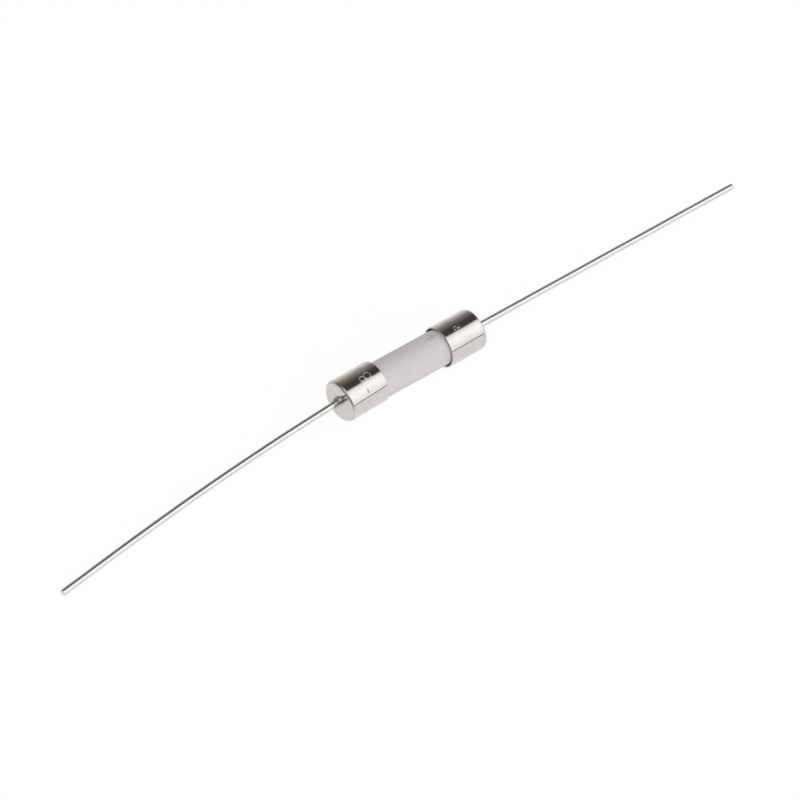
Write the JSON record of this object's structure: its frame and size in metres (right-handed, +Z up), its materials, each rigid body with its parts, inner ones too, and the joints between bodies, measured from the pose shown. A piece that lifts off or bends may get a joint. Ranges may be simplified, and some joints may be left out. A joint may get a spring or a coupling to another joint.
{
  "type": "ceramic cartridge fuse with axial leads",
  "caption": "Small ceramic tube fuse with bright metal end caps and a stiff tinned wire lead from each end, the near lead slightly bent.",
  "frame": {"origin": "middle of the body on the axis of the far cap and tube, halfway between the two cap end faces", "axes": "+X along the body's axis towards the straight lead, +Z up with the fuse lying on its caps and the bent lead's tip"},
  "size_m": [0.1032, 0.0061, 0.0052],
  "materials": {
    "ceramic": "matte, unglazed, pale warm grey",
    "cap_metal": "bright nickel plating over brass",
    "lead_metal": "tinned copper wire",
    "element_metal": "bare drawn wire",
    "sand": "packed quartz grains",
    "solder": "dull soft solder"
  },
  "bodies": {
    "root": {"ceramic_tube": "ceramic", "near_end_cap": "cap_metal", "far_end_cap": "cap_metal", "near_lead": "lead_metal", "far_lead": "lead_metal", "fuse_element": "element_metal", "sand_filling": "sand", "near_solder": "solder", "far_solder": "solder"}
  },
  "joints": []
}
